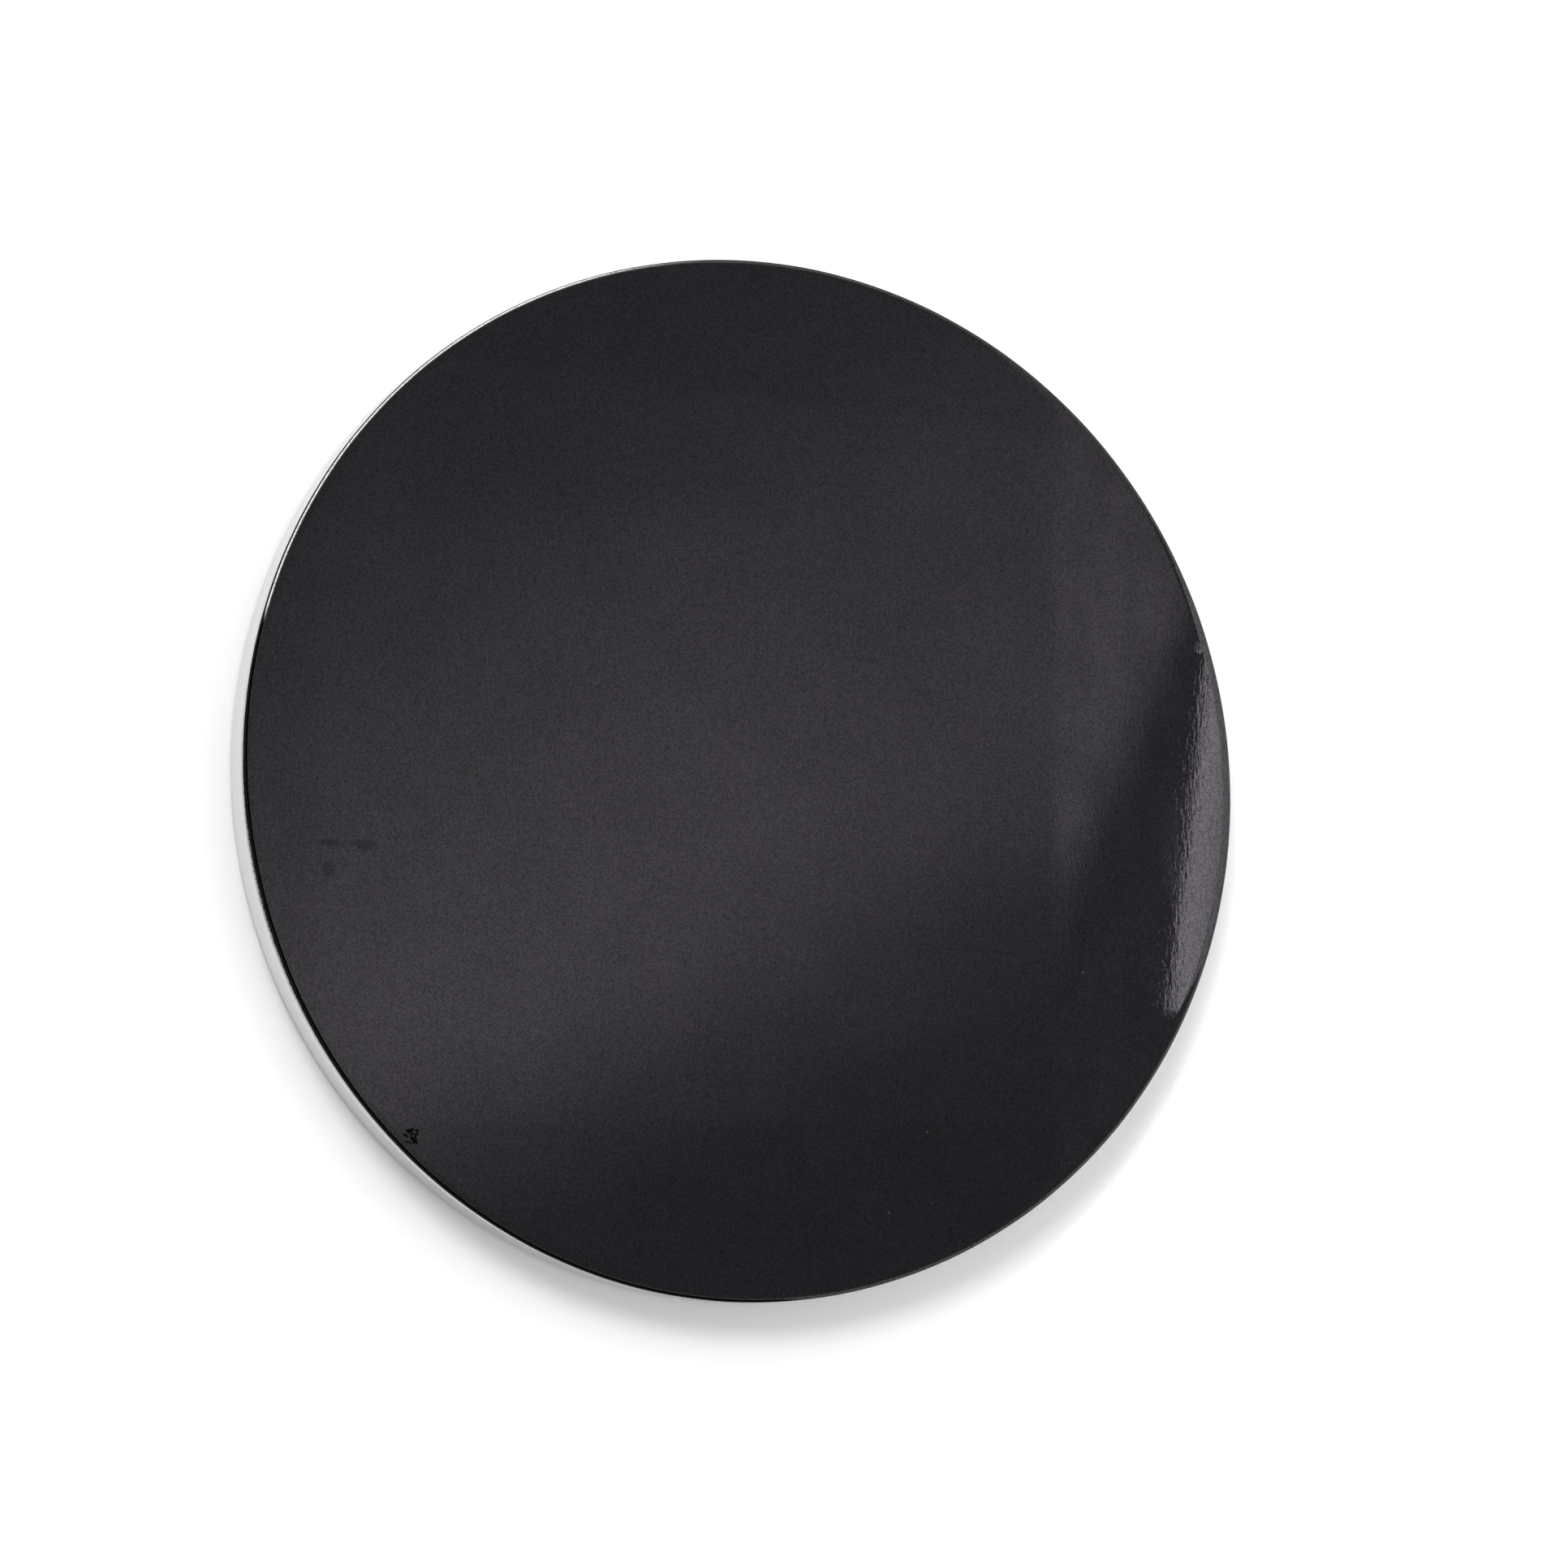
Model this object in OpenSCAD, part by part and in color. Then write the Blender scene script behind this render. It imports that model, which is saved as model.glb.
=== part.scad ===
// Round serving tray: an aluminium casting, hollow beneath, with a thick black enamel
// over its flat face and rounded edge, and four push-in rubber feet under it.
// The origin is the centre of the circle on the table that the feet stand on.

/* [Tray] */
// Outside diameter of the tray
tray_d = 350; // [300:1:400]
// Height from the table to the serving face
tray_h = 18.5; // [17:0.5:24]

/* [Enamel] */
// Thickness of the enamel over the casting
enamel_t = 0.8; // [0.5:0.1:1]
// Outside radius of the rounded top edge
edge_r = 1.6; // [1.4:0.1:2.4]
// How far the enamel reaches down the side, from the serving face
enamel_drop = 1.8; // [1.8:0.1:3]

/* [Casting] */
// Thickness of the flat plate under the enamel
plate_t = 4; // [3:0.5:5]
// Thickness of the turned-down skirt at its rim
skirt_t = 4; // [3:0.5:6]
// How much the skirt thickens from its rim to the plate, for the mould's draft
skirt_draft = 0.5; // [0.2:0.1:1]
// Radius inside the corner between the skirt and the plate
root_r = 4; // [2:0.5:5]
// Radius of the two edges of the rim
rim_r = 0.8; // [0.4:0.1:1.2]

/* [Stiffening ribs] */
// Outside diameter of the ring round the centre of the underside
hub_d = 84; // [60:2:110]
// Width of the ring and of the ribs that run from it to the feet
rib_w = 5; // [4:0.5:7]
// How far the ring and the ribs stand out of the plate
rib_h = 2.6; // [2:0.2:3]
// Radius where a rib or a boss meets the plate
blend_r = 1.6; // [0.8:0.2:2]

/* [Feet] */
// Number of feet, one on each arm of the ribs
foot_count = 4; // [4]
// Radius of the circle that the feet stand on
foot_ring_r = 152; // [130:1:152]
// Gap between the rim and the table
foot_gap = 1; // [0.6:0.2:2]
// Diameter of a foot's pad
foot_d = 15; // [12:0.5:16]
// Thickness of a foot's pad
pad_t = 3; // [2.4:0.2:4]
// Diameter of the hole in a boss that holds a foot's stem
stem_d = 5; // [4:0.5:6]
// Length of a foot's stem
stem_l = 6.4; // [5:0.2:7]
// Diameter of a boss
boss_d = 20; // [18:0.5:22]

/* [Hidden] */
$fn = 64;
tray_fn = 360;
tray_r = tray_d / 2;
skin_z = tray_h - enamel_t;          // top of the casting, under the enamel
border_z = tray_h - enamel_drop;     // lower edge of the enamel on the side
shoulder_r = tray_r - enamel_t;      // casting's radius behind the enamel
under_z = skin_z - plate_t;          // underside of the plate
rim_z = foot_gap;                    // the rim's lowest point
inner_r = tray_r - skirt_t;          // inside of the skirt at its rim
root_x = inner_r - skirt_draft;      // inside of the skirt where its root radius starts
rib_z = under_z - rib_h;             // lowest point of the ring and ribs
rib_tip_r = 1.2;                     // rounded lower edges of the ribs
hub_r = hub_d / 2 - rib_w / 2;       // centre line of the ring
stem_hole_h = stem_l + 1;            // the hole is a little deeper than the stem
boss_z = pad_t;                      // a boss ends where its foot's pad starts
barb_h = 1.6;                        // height of one barb on a stem
barb_step = 0.4;                     // how far a barb stands out of the stem
pad_edge_r = 1;                      // rounded lower edge of a pad
eps = 0.01;                          // overlap that lets joined shapes merge

// A square of side r at the origin's lower left, less the quarter circle that rounds it:
// taken from a shape, it rounds a corner that lies at the origin.
module outer_corner(r) {
    difference() {
        translate([-r, -r]) square(r + eps);
        translate([-r, -r]) circle(r);
    }
}

// The web that fills an inside corner at the origin with a radius, up and to the right.
module inner_corner(r) {
    difference() {
        translate([-eps, -eps]) square(r + eps);
        translate([r, r]) circle(r);
    }
}

// Half section of a disc from z0 to z1, of radius r, with its top edge rounded.
module disc_section(r, z0, z1, top_r) {
    difference() {
        translate([0, z0]) square([r, z1 - z0]);
        translate([r, z1]) outer_corner(top_r);
    }
}

// Half section of the hollow under the plate, with a rounded root and drafted side.
module hollow_section() {
    polygon([
        [-eps, -eps],
        [inner_r + eps, -eps],
        [inner_r, rim_z],
        [root_x, under_z - root_r],
        [root_x - root_r, under_z],
        [-eps, under_z]
    ]);
    translate([root_x - root_r, under_z - root_r]) circle(root_r);
}

// Half section of the skirt and the plate.
module shell_section() {
    difference() {
        union() {
            disc_section(shoulder_r, rim_z, skin_z, edge_r - enamel_t);
            translate([0, rim_z]) square([tray_r, border_z - rim_z]);
        }
        hollow_section();
        translate([tray_r, rim_z]) mirror([0, 1]) outer_corner(rim_r);
        translate([inner_r, rim_z]) mirror([1, 0]) mirror([0, 1]) outer_corner(rim_r);
    }
}

// Cross-section of a rib, hanging from the plate at y = 0, with rounded tips and roots.
module rib_section() {
    difference() {
        translate([-rib_w / 2, -rib_h]) square([rib_w, rib_h + eps]);
        translate([rib_w / 2, -rib_h]) mirror([0, 1]) outer_corner(rib_tip_r);
        translate([-rib_w / 2, -rib_h]) mirror([1, 0]) mirror([0, 1]) outer_corner(rib_tip_r);
    }
    translate([rib_w / 2, 0]) mirror([0, 1]) inner_corner(blend_r);
    translate([-rib_w / 2, 0]) mirror([1, 0]) mirror([0, 1]) inner_corner(blend_r);
}

// Half section of a boss, with a rounded end and root.
module boss_section() {
    difference() {
        translate([0, boss_z]) square([boss_d / 2, under_z - boss_z + eps]);
        translate([boss_d / 2, boss_z]) mirror([0, 1]) outer_corner(rib_tip_r);
    }
    translate([boss_d / 2, under_z]) mirror([0, 1]) inner_corner(blend_r);
}

// Puts its children at foot i, with +X pointing away from the tray's centre.
module at_foot(i) {
    rotate(360 * i / foot_count) translate([foot_ring_r, 0, 0]) children();
}

// A straight rib from the ring to the boss of foot i.
module rib(i) {
    rotate(360 * i / foot_count)
        translate([hub_r, 0, under_z])
            rotate([90, 0, 90]) linear_extrude(foot_ring_r - hub_r) rib_section();
}

module tray_casting() {
    color("silver") difference() {
        union() {
            rotate_extrude($fn = tray_fn) shell_section();
            rotate_extrude($fn = tray_fn) translate([hub_r, under_z]) rib_section();
            for (i = [0 : foot_count - 1]) {
                rib(i);
                at_foot(i) rotate_extrude() boss_section();
            }
        }
        for (i = [0 : foot_count - 1])
            at_foot(i) translate([0, 0, boss_z - 1]) cylinder(d = stem_d, h = stem_hole_h + 1);
    }
}

// The enamel: one even skin over the plate, round the edge and a little way down the side.
module enamel_face() {
    color([0.07, 0.07, 0.08]) rotate_extrude($fn = tray_fn) difference() {
        disc_section(tray_r, border_z, tray_h, edge_r);
        disc_section(shoulder_r, border_z - 1, skin_z, edge_r - enamel_t);
    }
}

// A rubber foot: a round pad with a barbed stem that is pushed into its boss.
module foot(i) {
    color([0.12, 0.12, 0.12]) at_foot(i) rotate_extrude() {
        difference() {
            square([foot_d / 2, pad_t]);
            translate([foot_d / 2, 0]) mirror([0, 1]) outer_corner(pad_edge_r);
        }
        translate([0, pad_t - eps]) square([stem_d / 2 - barb_step, stem_l + eps]);
        for (z = [pad_t + stem_l * 0.3, pad_t + stem_l * 0.65])
            polygon([
                [0, z],
                [stem_d / 2, z],
                [stem_d / 2, z + barb_h * 0.3],
                [stem_d / 2 - barb_step, z + barb_h],
                [0, z + barb_h]
            ]);
    }
}

tray_casting();
enamel_face();
foot(0);  // foot_1
foot(1);  // foot_2
foot(2);  // foot_3
foot(3);  // foot_4
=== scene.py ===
"""Looks of a round serving tray: gloss black enamel over an aluminium casting, on a white table."""

import math

import bpy
import numpy as np
from mathutils import Matrix, Vector


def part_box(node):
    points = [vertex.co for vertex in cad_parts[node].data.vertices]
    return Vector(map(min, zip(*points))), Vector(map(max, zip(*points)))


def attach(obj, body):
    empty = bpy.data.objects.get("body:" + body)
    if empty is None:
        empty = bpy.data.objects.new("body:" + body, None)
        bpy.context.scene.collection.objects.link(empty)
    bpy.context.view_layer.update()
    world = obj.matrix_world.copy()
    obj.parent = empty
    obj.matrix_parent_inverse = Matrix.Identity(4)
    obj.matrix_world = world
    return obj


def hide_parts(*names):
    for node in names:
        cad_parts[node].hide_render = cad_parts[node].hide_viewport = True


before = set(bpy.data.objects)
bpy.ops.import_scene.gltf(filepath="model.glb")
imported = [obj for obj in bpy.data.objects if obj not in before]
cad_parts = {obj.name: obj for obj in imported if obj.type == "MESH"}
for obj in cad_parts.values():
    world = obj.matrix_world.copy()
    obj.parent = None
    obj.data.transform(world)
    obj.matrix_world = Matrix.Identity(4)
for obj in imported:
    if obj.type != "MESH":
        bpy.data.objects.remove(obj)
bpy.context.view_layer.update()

MM = 0.001

# ---------------------------------------------------------------- sizes, from the frame
ENAMEL_LOW, ENAMEL_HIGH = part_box("enamel_face")
CASTING_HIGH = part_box("tray_casting")[1]
TRAY_R = ENAMEL_HIGH.x
TOP_Z = ENAMEL_HIGH.z
BORDER_Z = ENAMEL_LOW.z
ENAMEL_T = TOP_Z - CASTING_HIGH.z
EDGE_Z = TOP_Z - 1.6 * MM  # where the CAD's rounded edge meets the side
LIP_Z = TOP_Z - 0.42 * MM  # where the bevel ends and the lip starts

# ---------------------------------------------------------------- camera and studio
CAMERA_AZIMUTH = 198.24
CAMERA_ELEVATION = 68.97
CAMERA_DISTANCE = 1.984
CAMERA_RIGHT = 0.0111
CAMERA_UP = -0.0025
LENS = 136.2
SENSOR = 36.0

# The key light: a square softbox.
KEY_AZIMUTH = 126.0
KEY_ELEVATION = 56.0
KEY_DISTANCE = 1.8
KEY_SIZE = 0.6
KEY_POWER = 11.2

# A strip softbox far off beside it: the directions of its two ends, its half width in degrees.
STRIPBOX_ENDS = ((84.2, 35.7), (145.5, 54.3))
STRIPBOX_BOW = 3.9
STRIPBOX_HALF = 1.15
STRIPBOX_LEVEL = 19.0

FLOOR_R = 14.0
FLOOR_SEGMENTS = 96
FLOOR_WHITE = 0.86

# What the flat face mirrors, in degrees across (u) and up (v) the ceiling. A sloping line is
# given as its slope and its height where u is 0.
BAND_LINE = (0.444, -0.25)
BAND_BELOW = 4.0
BAND_ABOVE = 6.0
PANEL_TOP = (-0.138, 3.70)
PANEL_BOTTOM = -3.29
PANEL_LEFT = -4.51
PANEL_RIGHT = 2.63
AROUND_PANEL = 0.92
STREAK_LINE = (2.3, -7.2)
STRIP_LEAN = 0.106
STRIP_LEFT = 3.96
STRIP_RIGHT = 12.5
STRIP_TOP = (2.0, -7.075)
STRIP_BOTTOM = -2.2
CEILING_FADE = (7.0, 16.0)
CEILING_TINT = (1.04, 0.98, 1.07, 1)

# Brightness of the room: (share of the band's height, level) across the mirrored band of
# light, then the least and most of the rest of the room, the strip light and the dark side.
BAND_LEVELS = [
    (0.0, 0.32),
    (0.1, 0.36),
    (0.2, 0.58),
    (0.3, 0.98),
    (0.4, 1.08),
    (0.6, 0.86),
    (0.8, 0.59),
    (0.95, 0.49),
]
ROOM_LOW = 0.93
ROOM_HIGH = 1.29
ROOM_TILT = 0.3
ROOM_BRIGHT_AZIMUTH = 20.0
STRIP_LEVEL = 2.5
DARK_LEVEL = 0.03
DARK_AZIMUTH = 218.0
DARK_MIDDLE = (18.7, 72.8)
DARK_RADIUS = 54.5


def direction(azimuth, elevation):
    """A unit vector: azimuth in degrees from +X towards +Y, elevation above the horizon."""
    a, e = math.radians(azimuth), math.radians(elevation)
    return Vector((math.cos(e) * math.cos(a), math.cos(e) * math.sin(a), math.sin(e)))


def look_axes(back):
    """Right and up of a view along -back, with +Y of the frame up in the picture."""
    right = Vector((0, 1, 0)).cross(back).normalized()
    return right, back.cross(right)


def make_camera():
    """The camera at the photograph's viewing angle."""
    back = direction(CAMERA_AZIMUTH, CAMERA_ELEVATION)
    right, up = look_axes(back)
    place = back * CAMERA_DISTANCE + right * CAMERA_RIGHT + up * CAMERA_UP + Vector((0, 0, EDGE_Z))
    data = bpy.data.cameras.new("camera")
    data.lens = LENS
    data.sensor_width = SENSOR
    data.clip_start, data.clip_end = 0.05, 100
    camera = bpy.data.objects.new("camera", data)
    bpy.context.scene.collection.objects.link(camera)
    turn = Matrix((right, up, back)).transposed().to_4x4()
    camera.matrix_world = Matrix.Translation(place) @ turn
    bpy.context.scene.camera = camera


# ---------------------------------------------------------------- a small node-graph helper
class Graph:
    """Builds a shader node tree with plain calls: an input is a socket, a number or a vector."""

    def __init__(self, tree):
        self.tree = tree
        tree.nodes.clear()

    def node(self, kind, inputs=None, **settings):
        node = self.tree.nodes.new(kind)
        for name, value in settings.items():
            setattr(node, name, value)
        for name, value in (inputs or {}).items():
            self.put(node.inputs[name], value)
        return node

    def put(self, socket, value):
        if isinstance(value, bpy.types.NodeSocket):
            self.tree.links.new(value, socket)
        else:
            socket.default_value = value

    def math(self, operation, *values, clamp=False):
        node = self.node("ShaderNodeMath", operation=operation, use_clamp=clamp)
        for socket, value in zip(node.inputs, values):
            self.put(socket, value)
        return node.outputs[0]

    def add(self, *values):
        total = values[0]
        for value in values[1:]:
            total = self.math("ADD", total, value)
        return total

    def times(self, *values):
        total = values[0]
        for value in values[1:]:
            total = self.math("MULTIPLY", total, value)
        return total

    def vector_math(self, operation, *values):
        node = self.node("ShaderNodeVectorMath", operation=operation)
        for socket, value in zip(node.inputs, values):
            self.put(socket, value)
        return node.outputs["Value" if operation in ("DOT_PRODUCT", "LENGTH") else "Vector"]

    def step(self, value, low, high, start=0.0, end=1.0):
        """A smooth step of value from low to high, as a share from start to end."""
        node = self.node("ShaderNodeMapRange", interpolation_type="SMOOTHSTEP")
        for socket, number in zip(node.inputs, (value, low, high, start, end)):
            self.put(socket, number)
        return node.outputs[0]

    def noise(self, vector, scale, detail=2.0, roughness=0.5, distortion=0.0):
        node = self.node(
            "ShaderNodeTexNoise",
            {
                "Vector": vector,
                "Scale": scale,
                "Detail": detail,
                "Roughness": roughness,
                "Distortion": distortion,
            },
        )
        return node.outputs[0]

    def mix(self, share, a, b):
        """Mix of two colours by a share."""
        node = self.node("ShaderNodeMix", data_type="RGBA")
        self.put(node.inputs[0], share)
        self.put(node.inputs[6], a)
        self.put(node.inputs[7], b)
        return node.outputs[2]

    def blend(self, share, a, b):
        """Mix of two numbers by a share."""
        node = self.node("ShaderNodeMix", data_type="FLOAT")
        self.put(node.inputs[0], share)
        self.put(node.inputs[2], a)
        self.put(node.inputs[3], b)
        return node.outputs[0]

    def ramp(self, value, stops, interpolation="EASE"):
        """A colour ramp from (position, grey) stops."""
        node = self.node("ShaderNodeValToRGB", {0: value})
        ramp = node.color_ramp
        ramp.interpolation = interpolation
        while len(ramp.elements) < len(stops):
            ramp.elements.new(1.0)
        for element, (position, level) in zip(ramp.elements, stops):
            element.position = position
            element.color = grey(level)
        return node.outputs[0]

    def plane(self, x, y):
        """A vector in a plane."""
        return self.node("ShaderNodeCombineXYZ", {"X": x, "Y": y}).outputs[0]

    def share(self, vector, index):
        """One number of a colour: red, green or blue, by its index."""
        return self.node("ShaderNodeSeparateColor", {0: vector}).outputs[index]

    def principled(self, inputs):
        """The Principled shader with these inputs, as the material's surface."""
        shader = self.node("ShaderNodeBsdfPrincipled", inputs)
        output = self.node("ShaderNodeOutputMaterial")
        self.put(output.inputs["Surface"], shader.outputs[0])


def new_material(name):
    """A material with an empty node graph."""
    material = bpy.data.materials.new(name)
    material.use_nodes = True
    return material, Graph(material.node_tree)


def grey(value):
    return (value, value, value, 1)


# ---------------------------------------------------------------- studio
def make_floor():
    """A plain pale table top under the tray."""
    ring = [2 * math.pi * i / FLOOR_SEGMENTS for i in range(FLOOR_SEGMENTS)]
    mesh = bpy.data.meshes.new("floor")
    mesh.from_pydata(
        [(FLOOR_R * math.cos(a), FLOOR_R * math.sin(a), 0) for a in ring],
        [],
        [list(range(FLOOR_SEGMENTS))],
    )
    floor = bpy.data.objects.new("floor", mesh)
    bpy.context.scene.collection.objects.link(floor)
    material, graph = new_material("table_white")
    graph.principled(
        {"Base Color": grey(FLOOR_WHITE), "Roughness": 0.9, "Specular IOR Level": 0.1}
    )
    mesh.materials.append(material)


def make_key_light():
    """A square softbox above and behind the tray, on the picture's upper left. Gloss surfaces
    don't mirror it: the edge highlight comes from the strip softbox alone."""
    data = bpy.data.lights.new("key_softbox", "AREA")
    data.shape = "SQUARE"
    data.size = KEY_SIZE
    data.energy = KEY_POWER
    light = bpy.data.objects.new("key_softbox", data)
    bpy.context.scene.collection.objects.link(light)
    away = direction(KEY_AZIMUTH, KEY_ELEVATION)
    light.location = away * KEY_DISTANCE
    light.visible_glossy = False
    light.rotation_euler = away.to_track_quat("Z", "Y").to_euler()


def ceiling_place(graph, towards):
    """Degrees across and up the ceiling, from the point that the flat face mirrors to the
    camera, and the cosine of the angle from it."""
    back = direction(CAMERA_AZIMUTH, CAMERA_ELEVATION)
    right, up = look_axes(back)
    flip = Vector((1, 1, -1))
    ahead, across, above = -back * flip, right * flip, up * flip
    depth = graph.vector_math("DOT_PRODUCT", towards, ahead)
    scale = graph.math("DIVIDE", math.degrees(1), graph.math("MAXIMUM", depth, 0.05))
    u = graph.times(graph.vector_math("DOT_PRODUCT", towards, across), scale)
    v = graph.times(graph.vector_math("DOT_PRODUCT", towards, above), scale)
    return u, v, depth


def above_line(graph, u, v, line):
    """Height above a sloping line on the ceiling, in degrees."""
    slope, offset = line
    return graph.math("SUBTRACT", v, graph.add(graph.times(u, slope), offset))


def ceiling_light(graph, u, v):
    """The large panel with its band of light, and the streak to the right of it."""
    from_bottom = graph.add(above_line(graph, u, v, BAND_LINE), BAND_BELOW)
    band_height = graph.math("DIVIDE", from_bottom, BAND_BELOW + BAND_ABOVE)
    band = graph.ramp(band_height, BAND_LEVELS, "LINEAR")
    # It dims towards the right, evens out above, and is a little lighter below.
    dimming = graph.step(u, -1.2, 1.8, 1.02, 0.84)
    dimming = graph.blend(graph.step(v, 2.3, 3.0), dimming, 0.91)
    dimming = graph.blend(graph.step(v, -2.4, -1.0), 1.08, dimming)
    band = graph.times(band, dimming)
    # The streak to the right of the panel.
    streak = graph.step(above_line(graph, u, v, STREAK_LINE), -0.8, 0.8, 0.40, 1.08)
    streak_fade = graph.step(v, 1.2, 3.2, 1.0, 0.8)
    beside = graph.step(u, PANEL_RIGHT - 0.03, PANEL_RIGHT + 0.03)
    # Faint cloudiness: upright streaks beside the panel, wide soft patches everywhere.
    upright = graph.plane(graph.times(u, 5.5), graph.times(v, 1.2))
    clouds = graph.step(graph.noise(upright, 1.0, 3.0, 0.6), 0.3, 0.7, 0.86, 1.14)
    wide_clouds = graph.step(graph.noise(graph.plane(u, v), 1.1, 4.0, 0.6), 0.3, 0.7, 0.95, 1.05)
    light = graph.blend(beside, band, graph.times(streak, streak_fade, clouds))
    light = graph.times(light, wide_clouds)
    # The panel is a little lighter than what is round it.
    panel = graph.times(
        graph.step(above_line(graph, u, v, PANEL_TOP), -0.03, 0.03, 1.0, 0.0),
        graph.step(v, PANEL_BOTTOM - 0.02, PANEL_BOTTOM + 0.02),
        graph.step(u, PANEL_LEFT - 0.02, PANEL_LEFT + 0.02),
    )
    return graph.times(light, graph.blend(panel, AROUND_PANEL, 1.0))


def strip_light(graph, u, v):
    """The bright strip light far to the right, cut off by a sloping line at its upper end."""
    across = graph.math("SUBTRACT", graph.math("SUBTRACT", u, graph.times(v, STRIP_LEAN)), STRIP_LEFT)
    strip = graph.times(
        graph.step(across, -0.02, 0.02),
        graph.step(v, STRIP_BOTTOM - 0.05, STRIP_BOTTOM + 0.05),
        graph.step(above_line(graph, u, v, STRIP_TOP), -0.075, 0.075, 1.0, 0.0),
        graph.step(u, STRIP_RIGHT - 0.5, STRIP_RIGHT + 0.5, 1.0, 0.0),
    )
    fade = graph.step(across, 0.01, 0.54, 1.25, 0.6)
    return graph.times(strip, fade, STRIP_LEVEL)


def room_light(graph, towards):
    """The rest of the room: evenly lit, with soft uneven patches, brighter on one side, and dark
    inside a wide round patch of the ceiling on the camera's side."""
    patches = graph.noise(towards, 2.2, 2.0)
    room = graph.step(patches, 0.3, 0.7, ROOM_LOW, ROOM_HIGH)
    side = graph.vector_math("DOT_PRODUCT", towards, direction(DARK_AZIMUTH, 0))
    overhead = graph.vector_math("DOT_PRODUCT", towards, direction(*DARK_MIDDLE))
    rim = math.cos(math.radians(DARK_RADIUS))
    dark = graph.times(graph.step(side, 0.07, 0.10), graph.step(overhead, rim - 0.03, rim + 0.03))
    tilt = graph.vector_math("DOT_PRODUCT", towards, direction(ROOM_BRIGHT_AZIMUTH, 0))
    room = graph.times(room, graph.add(1.0, graph.times(tilt, ROOM_TILT)))
    return graph.blend(dark, room, DARK_LEVEL)


def strip_softbox(graph, towards):
    """A long, slightly bowed softbox far off, which the enamel's bevel mirrors as a thin line."""
    start, end = (direction(*place) for place in STRIPBOX_ENDS)
    along, middle = (end - start).normalized(), (end + start).normalized()
    beyond = graph.vector_math("DOT_PRODUCT", towards, along)
    aside = graph.vector_math("DOT_PRODUCT", towards, middle.cross(along))
    reach = math.sin(math.acos(start.dot(end)) / 2)
    share = graph.math("DIVIDE", beyond, reach)
    sag = graph.math("SUBTRACT", 1.0, graph.times(share, share))
    bow = graph.times(sag, -math.radians(STRIPBOX_BOW))
    off_line = graph.math("ABSOLUTE", graph.math("SUBTRACT", aside, bow))
    half = math.radians(STRIPBOX_HALF)
    # It fades out slowly at its first end and quickly at the other, and has no far side.
    softbox = graph.times(
        graph.step(off_line, half, half * 1.1, 1.0, 0.0),
        graph.step(share, -1.45, -0.85),
        graph.step(share, 0.93, 1.0, 1.0, 0.0),
        graph.step(graph.vector_math("DOT_PRODUCT", towards, middle), 0.5, 0.6),
    )
    return graph.times(softbox, STRIPBOX_LEVEL)


def make_world():
    """The white studio round the tray. Its ceiling is what the gloss face mirrors: a large
    panel with a band of light across it, a streak beside it, and one bright strip light. The
    camera's own side of the room is dark overhead, as behind any camera."""
    world = bpy.data.worlds.new("studio")
    bpy.context.scene.world = world
    world.use_nodes = True
    graph = Graph(world.node_tree)
    towards = graph.node("ShaderNodeTexCoord").outputs["Generated"]
    u, v, depth = ceiling_place(graph, towards)
    # The mirrored part of the ceiling fades into the room.
    away = graph.math("SQRT", graph.add(graph.times(u, u), graph.times(v, v)))
    near = graph.times(graph.step(away, *CEILING_FADE, 1.0, 0.0), graph.step(depth, 0.5, 0.7))
    level = graph.blend(near, room_light(graph, towards), ceiling_light(graph, u, v))
    level = graph.add(level, graph.times(strip_light(graph, u, v), near))
    level = graph.add(level, strip_softbox(graph, towards))
    tint = graph.mix(near, grey(1.0), CEILING_TINT)
    background = graph.node("ShaderNodeBackground", {"Color": tint, "Strength": level})
    output = graph.node("ShaderNodeOutputWorld")
    graph.put(output.inputs["Surface"], background.outputs[0])


# ---------------------------------------------------------------- mesh helpers
def waves(angles, counts, seed):
    """An uneven line round the tray: sines with these numbers of waves, from -1 to 1."""
    draw = np.random.default_rng(seed)
    total = sum(
        draw.uniform(0.4, 1.0) * np.sin(n * angles + draw.uniform(0, 2 * math.pi)) for n in counts
    )
    return total / np.abs(total).max()


def revolve(name, rings):
    """A closed solid of revolution. rings holds (radii, heights) arrays from the middle of one
    face, round the edge, to the middle of the other; the two ends are closed with a point."""
    segments = len(rings[0][0])
    angles = np.linspace(0, 2 * math.pi, segments, endpoint=False)
    points = [
        np.column_stack((radii * np.cos(angles), radii * np.sin(angles), heights))
        for radii, heights in rings
    ]
    vertices = np.concatenate(points)
    following = (np.arange(segments) + 1) % segments
    faces = []
    for k in range(len(rings) - 1):
        low, high = k * segments, (k + 1) * segments
        faces += np.column_stack(
            (low + np.arange(segments), high + np.arange(segments), high + following, low + following)
        ).tolist()
    first, last = len(vertices), len(vertices) + 1
    end = (len(rings) - 1) * segments
    faces += [[first, i, j] for i, j in enumerate(following.tolist())]
    faces += [[last, end + j, end + i] for i, j in enumerate(following.tolist())]
    ends = [(0, 0, rings[0][1].mean()), (0, 0, rings[-1][1].mean())]
    mesh = bpy.data.meshes.new(name)
    mesh.from_pydata(np.concatenate((vertices, ends)).tolist(), [], faces)
    mesh.shade_smooth()
    piece = bpy.data.objects.new(name, mesh)
    bpy.context.scene.collection.objects.link(piece)
    return piece


# ---------------------------------------------------------------- enamel
COAT_SEGMENTS = 960
COAT_MIDDLE_R = 4 * MM  # the faces inside this radius meet in one point
ENAMEL_BLACK = (0.0012, 0.0009, 0.0013, 1)
ENAMEL_HAZE = (0.0022, 0.0019, 0.0024, 1)
NIB_GREY = (0.03, 0.03, 0.032, 1)
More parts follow.
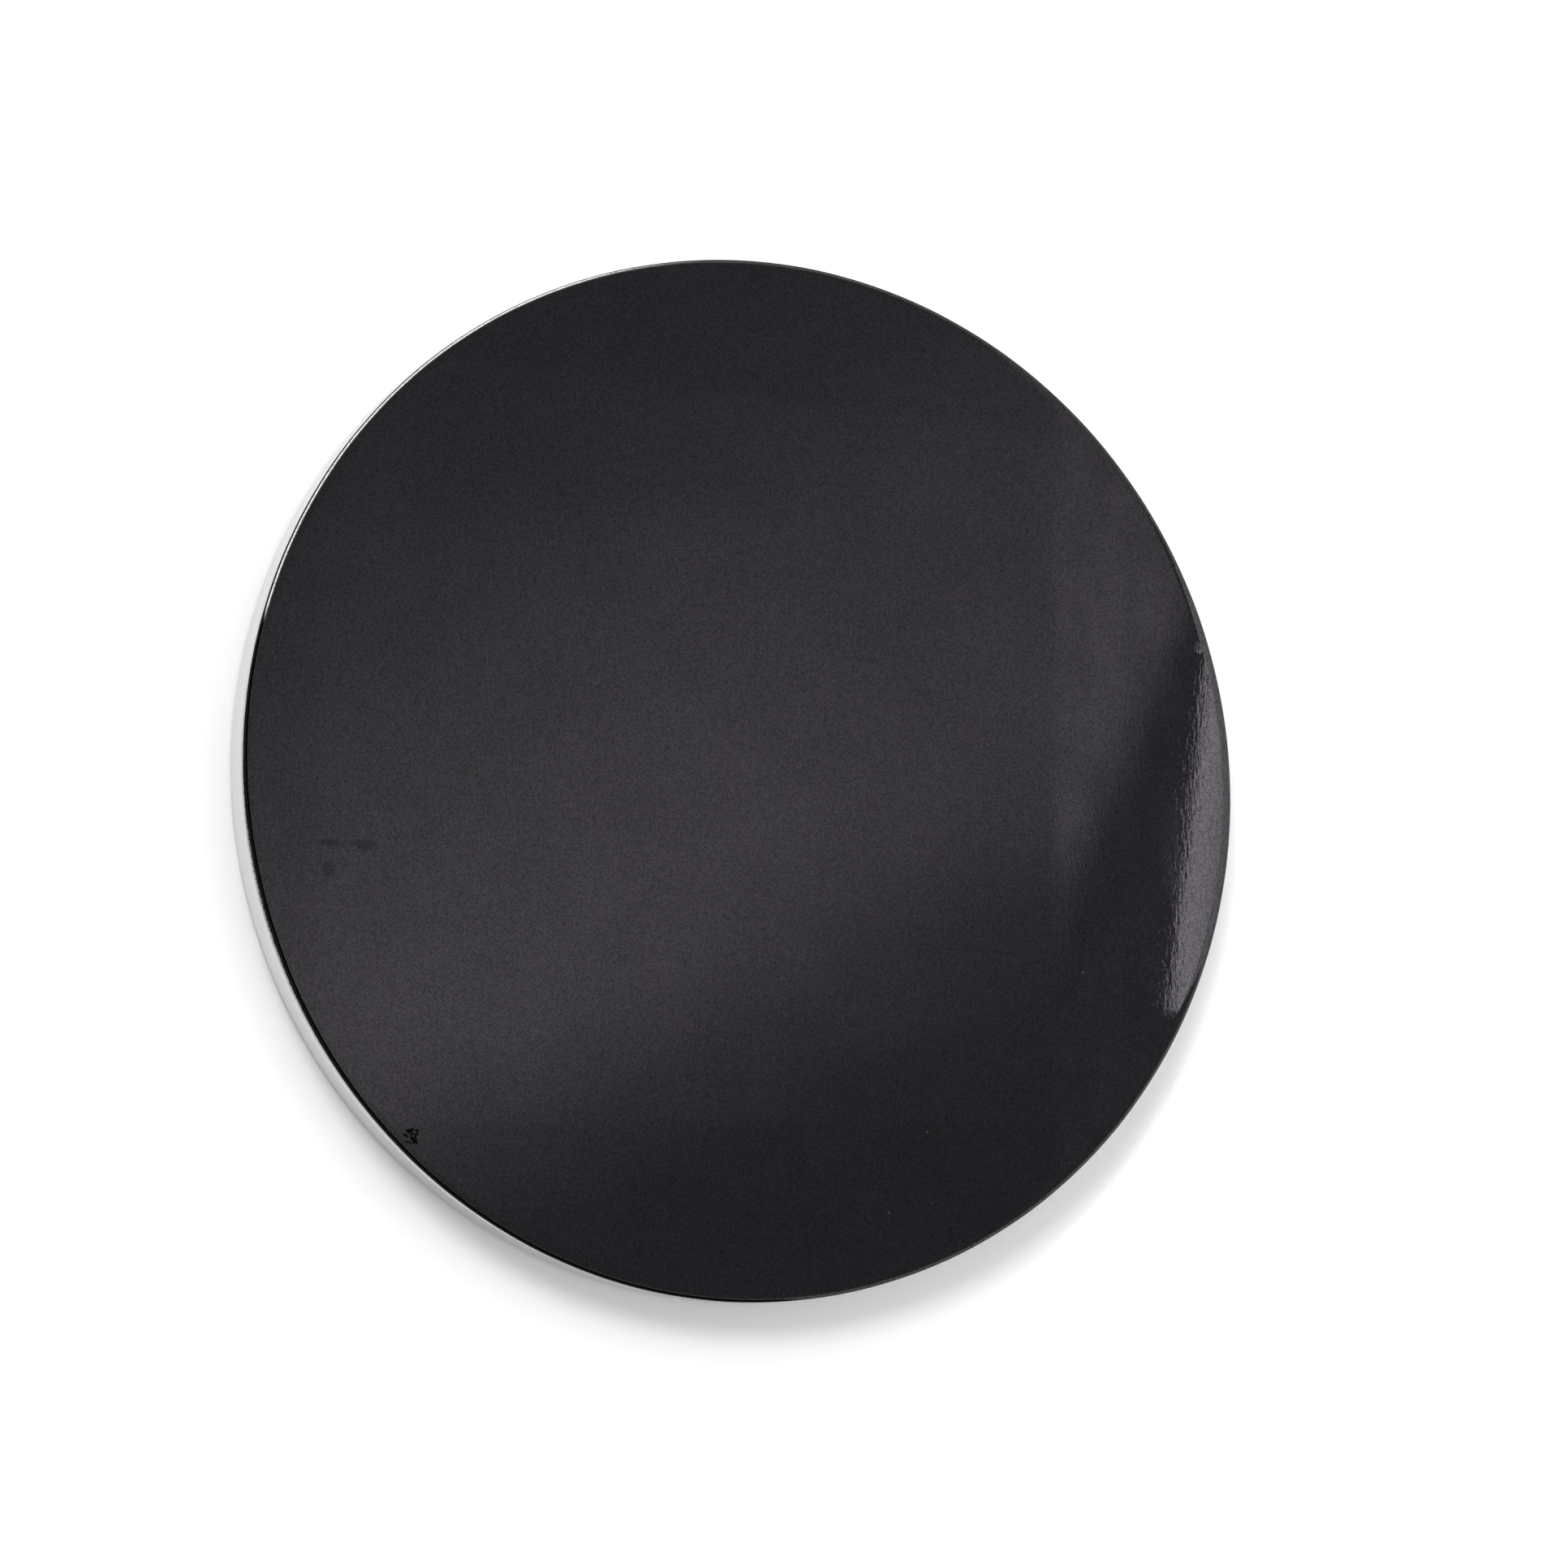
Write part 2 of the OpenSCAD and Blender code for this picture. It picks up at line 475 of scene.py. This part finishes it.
# Where the coat's outline stands out or in: by how many mm, round which azimuth, how wide.
EDGE_HUMPS = [(0.45, 141, 30), (-0.5, 196, 20), (0.4, 256, 24)]
# Marks on the face: middle, then half lengths along X and Y, in millimetres.
SCUFF = (-118.0, -122.5, 4.2, 4.2)
CRAZE = (163.3, 51.0, 1.6, 2.2)
SMUDGES = [(-146.0, -27.5, 5.0, 1.8), (-134.5, -27.8, 5.5, 2.2), (-146.3, -36.0, 2.6, 3.6)]


def edge_profile():
    """Section of the enamel's edge, from the flat face out and down, as (how far inside the
    outer radius, how far below the face): a quick turn, a narrow bevel that is nearly straight,
    and a tight turn to the upright lip."""
    arcs = [(0.9 * MM, 0, 22.7), (36.0 * MM, 22.7, 23.8), (0.3 * MM, 23.8, 90)]
    points = [(0.0, 0.0)]
    for radius, start, end in arcs:
        steps = 8
        x, z = points[-1]
        for k in range(1, steps + 1):
            a = math.radians(start + (end - start) * k / steps)
            b = math.radians(start)
            across = radius * (math.sin(a) - math.sin(b))
            down = radius * (math.cos(b) - math.cos(a))
            points.append((x + across, z + down))
    width = points[-1][0]
    return [(width - x, drop) for x, drop in points]


def hump(angles, middle, width):
    """A smooth hump round an azimuth, both in degrees."""
    away = (np.degrees(angles) - middle + 180) % 360 - 180
    return np.exp(-((away / width) ** 2))


def make_enamel_coat():
    """The poured enamel: flat, with a narrow soft bevel before it turns down, an edge that
    wanders by a few tenths and an uneven lower border on the metal."""
    angles = np.linspace(0, 2 * math.pi, COAT_SEGMENTS, endpoint=False)
    even = np.ones(COAT_SEGMENTS)
    wander = sum(size * hump(angles, middle, width) for size, middle, width in EDGE_HUMPS)
    wander = wander + 0.03 * waves(angles, [17, 29, 47], 3)
    outer = TRAY_R + 0.04 * MM + wander * MM
    profile = edge_profile()
    flat_r = TRAY_R - profile[0][0]
    flat_radii = np.linspace(COAT_MIDDLE_R, flat_r - 2 * MM, 40)
    rings = [(even * r, even * TOP_Z) for r in flat_radii]
    for inside, drop in profile:
        rings.append((outer - inside, even * (TOP_Z - drop)))
    # the border: short runs and small scallops, never above the casting's own step
    scallops = waves(angles, [9, 14, 23, 37, 58, 91, 140], 4)
    border = BORDER_Z - (0.08 + 0.06 * scallops) * MM
    lip_r = 0.14 * MM
    rings.append((outer, border + lip_r * 2))
    for k in range(5):
        a = math.pi / 2 * k / 4
        rings.append((outer - lip_r * (1 - math.cos(a)), border + lip_r * (1 - math.sin(a))))
    inner_r = TRAY_R - ENAMEL_T
    rings.append((even * (inner_r + 0.1 * MM), even * BORDER_Z))
    inner_edge = 0.8 * MM
    inner_z = TOP_Z - ENAMEL_T - inner_edge
    for k in range(7):
        a = math.pi / 2 * k / 6
        ring_r = inner_r - inner_edge * (1 - math.cos(a))
        rings.append((even * ring_r, even * (inner_z + inner_edge * math.sin(a))))
    rings.append((even * COAT_MIDDLE_R, even * (TOP_Z - ENAMEL_T)))
    coat = revolve("enamel_coat", rings)
    coat.data.materials.append(enamel_material())
    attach(coat, "root")
    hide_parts("enamel_face")


def mark(graph, place, spot):
    """How much of a mark is here: spot holds its middle and half lengths along X and Y, in mm."""
    x, y, half_x, half_y = spot
    away = graph.vector_math("SUBTRACT", place, (x * MM, y * MM, TOP_Z))
    away = graph.vector_math("MULTIPLY", away, (1000 / half_x, 1000 / half_y, 0.0))
    uneven = graph.times(graph.math("SUBTRACT", graph.noise(place, 300.0, 2.0), 0.5), 0.9)
    return graph.step(graph.add(graph.vector_math("LENGTH", away), uneven), 0.4, 1.1, 1.0, 0.0)


def enamel_height(graph, place, nib):
    """The relief of the gloss, in metres: brushed-out streaks along Y, fine orange peel, long
    swells, sparse dimples, a crazed spot and dust nibs."""
    along = graph.vector_math("MULTIPLY", place, (1.0, 0.28, 1.0))
    streaks = graph.times(graph.noise(along, 700.0, 2.0, 0.6), 1.7e-6)
    peel = graph.times(graph.noise(place, 620.0, 2.0, 0.5), 0.5e-6)
    swell = graph.times(graph.noise(place, 60.0, 2.0), 3.0e-6)
    dimples = graph.noise(graph.vector_math("MULTIPLY", place, (1.0, 0.3, 1.0)), 1500.0, 1.0)
    dimples = graph.times(graph.step(dimples, 0.58, 0.78), 0.2e-6)
    craze = graph.times(mark(graph, place, CRAZE), graph.noise(place, 1100.0, 1.0), 1.0e-5)
    return graph.add(streaks, peel, swell, dimples, craze, graph.times(nib, 2.0e-5))


def dust_nibs(graph, place):
    """Sparse specks of dust in the coat."""
    cells = graph.node("ShaderNodeTexVoronoi", {"Vector": place, "Scale": 75.0})
    chosen = graph.step(graph.share(cells.outputs["Color"], 0), 0.62, 0.63)
    return graph.times(graph.step(cells.outputs["Distance"], 0.010, 0.030, 1.0, 0.0), chosen)


def wiped_haze(graph, place):
    """A faint film left by wiping, in patches."""
    haze = graph.noise(place, 9.0, 4.0, 0.6, 1.2)
    stretched = graph.vector_math("MULTIPLY", place, (60.0, 8.0, 8.0))
    wipe = graph.noise(stretched, 1.0, 5.0, 0.7)
    return graph.times(graph.step(haze, 0.45, 0.7), graph.step(wipe, 0.4, 0.75))


def enamel_gloss(graph, place, roughness):
    """Specular level and roughness: a fine speckle, a scuff of small dull spots near the edge
    and three smudges."""
    grains = graph.node("ShaderNodeTexVoronoi", {"Vector": place, "Scale": 3000.0})
    speckle = graph.math("SUBTRACT", graph.share(grains.outputs["Color"], 1), 0.5)
    gloss = graph.add(0.5, graph.times(speckle, 0.4))
    spots = graph.add(graph.times(mark(graph, place, SCUFF), 0.5), graph.noise(place, 750.0, 1.0))
    scuff = graph.step(spots, 0.97, 1.0)
    gloss = graph.times(gloss, graph.math("SUBTRACT", 1.0, graph.times(scuff, 0.96)))
    roughness = graph.blend(scuff, roughness, 0.4)
    for smudge in SMUDGES:
        smear = mark(graph, place, smudge)
        gloss = graph.times(gloss, graph.math("SUBTRACT", 1.0, graph.times(smear, 0.32)))
        roughness = graph.add(roughness, graph.times(smear, 0.04))
    return gloss, roughness


def enamel_material():
    """Gloss black enamel: a nearly flat mirror, with dust nibs and wiped marks."""
    material, graph = new_material("gloss_black_enamel")
    place = graph.node("ShaderNodeTexCoord").outputs["Object"]
    nib = dust_nibs(graph, place)
    height = enamel_height(graph, place, nib)
    bump = graph.node("ShaderNodeBump", {"Height": height, "Distance": 1.0, "Strength": 1.0})
    film = wiped_haze(graph, place)
    colour = graph.mix(film, ENAMEL_BLACK, ENAMEL_HAZE)
    colour = graph.mix(nib, colour, NIB_GREY)
    gloss, roughness = enamel_gloss(graph, place, graph.blend(film, 0.012, 0.035))
    # the lip below the bevel is dull
    axes = graph.node("ShaderNodeSeparateXYZ", {0: place}).outputs
    face = graph.step(axes[2], LIP_Z - 0.08 * MM, LIP_Z + 0.08 * MM)
    graph.principled(
        {
            "Base Color": colour,
            "Roughness": graph.blend(face, 0.35, roughness),
            "Specular IOR Level": graph.blend(face, 0.0, gloss),
            "IOR": 1.5,
            "Normal": bump.outputs[0],
        }
    )
    return material


# ---------------------------------------------------------------- casting
CAST_DULL = (0.58, 0.58, 0.575, 1)
CAST_BRIGHT = (0.67, 0.667, 0.662, 1)
SIDE_LOWER = (0.70, 0.688, 0.694, 1)
SIDE_UPPER = (0.73, 0.718, 0.724, 1)
OVERSPRAY = (0.012, 0.012, 0.013, 1)


def casting_material():
    """Cast aluminium: the side ground and polished, rougher under the enamel and dusted there
    with black overspray; inside and underneath, bare sand-cast skin."""
    material, graph = new_material("satin_cast_aluminium")
    place = graph.node("ShaderNodeTexCoord").outputs["Object"]
    axes = graph.node("ShaderNodeSeparateXYZ", {0: place}).outputs
    radius = graph.math("SQRT", graph.add(graph.times(axes[0], axes[0]), graph.times(axes[1], axes[1])))
    outside = graph.step(radius, TRAY_R - 1.2 * MM, TRAY_R - 0.9 * MM)
    below = graph.math("SUBTRACT", BORDER_Z, axes[2])

    # the side
    turned = graph.noise(graph.vector_math("MULTIPLY", place, (40.0, 40.0, 5200.0)), 1.0, 3.0, 0.6)
    upper = graph.step(below, 2.0 * MM, 6.0 * MM, 1.0, 0.0)
    round_about = graph.noise(place, 14.0, 2.0)
    fade = graph.math("POWER", graph.step(below, 0.0, 3.4 * MM, 1.0, 0.0), 1.6)
    specks = graph.noise(place, 2600.0, 1.0, 0.5)
    reach = graph.times(fade, graph.step(round_about, 0.3, 0.7, 0.10, 0.26))
    spray = graph.step(specks, graph.math("SUBTRACT", 0.74, reach), graph.math("SUBTRACT", 0.78, reach))
    film = graph.times(graph.math("POWER", graph.step(below, 0.0, 5.0 * MM, 1.0, 0.0), 1.5), 0.42)
    spray = graph.times(graph.math("MAXIMUM", spray, film), outside)
    shoulder = graph.math("SUBTRACT", 1.0, graph.math("DIVIDE", below, 5.0 * MM), clamp=True)

    # the sand-cast skin
    sand = graph.noise(place, 1400.0, 3.0, 0.6)
    lumps = graph.noise(place, 160.0, 3.0, 0.55)
    oxide = graph.noise(place, 30.0, 5.0, 0.65, 0.2)

    cast_colour = graph.mix(graph.step(oxide, 0.35, 0.7), CAST_DULL, CAST_BRIGHT)
    cast_colour = graph.mix(graph.step(sand, 0.35, 0.5, 0.35, 0.0), cast_colour, grey(0.32))
    side_colour = graph.mix(upper, SIDE_LOWER, SIDE_UPPER)
    side_colour = graph.mix(spray, side_colour, OVERSPRAY)
    colour = graph.mix(outside, cast_colour, side_colour)

    side_rough = graph.add(graph.blend(upper, 0.10, 0.30), graph.times(turned, 0.08))
    side_rough = graph.blend(spray, side_rough, 0.5)
    roughness = graph.blend(outside, graph.add(0.5, graph.times(sand, 0.2)), side_rough)
    metallic = graph.math("SUBTRACT", 1.0, spray)

    cast_height = graph.add(graph.times(sand, 1.1e-4), graph.times(lumps, 1.6e-4))
    side_height = graph.add(graph.times(turned, 1.0e-6), graph.times(upper, sand, 6.0e-6))
    side_height = graph.add(side_height, graph.times(shoulder, shoulder, -1.1 * MM))
    height = graph.blend(outside, cast_height, side_height)
    bump = graph.node("ShaderNodeBump", {"Height": height, "Distance": 1.0, "Strength": 1.0})
    graph.principled(
        {
            "Base Color": colour,
            "Roughness": roughness,
            "Metallic": metallic,
            "Normal": bump.outputs[0],
        }
    )
    return material


# ---------------------------------------------------------------- feet
RUBBER_BLACK = (0.016, 0.016, 0.017, 1)
RUBBER_DUST = (0.045, 0.044, 0.042, 1)


def rubber_material():
    """Matt black rubber with a fine moulded grain and a little dust."""
    material, graph = new_material("foot_rubber")
    place = graph.node("ShaderNodeTexCoord").outputs["Object"]
    grain = graph.noise(place, 2400.0, 3.0, 0.6)
    dust = graph.step(graph.noise(place, 260.0, 4.0, 0.6), 0.45, 0.75)
    colour = graph.mix(dust, RUBBER_BLACK, RUBBER_DUST)
    bump = graph.node("ShaderNodeBump", {"Height": graph.times(grain, 4.0e-5), "Distance": 1.0})
    graph.principled(
        {
            "Base Color": colour,
            "Roughness": graph.add(0.55, graph.times(dust, 0.25)),
            "Normal": bump.outputs[0],
        }
    )
    return material


def dress(node, material):
    """Gives a CAD node its finish."""
    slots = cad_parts[node].material_slots
    slots[0].material = material


make_camera()
make_floor()
make_key_light()
make_world()
bpy.context.scene.view_settings.view_transform = "Standard"

make_enamel_coat()
dress("tray_casting", casting_material())
rubber = rubber_material()
for number in range(1, 5):
    dress(f"foot_{number}", rubber)
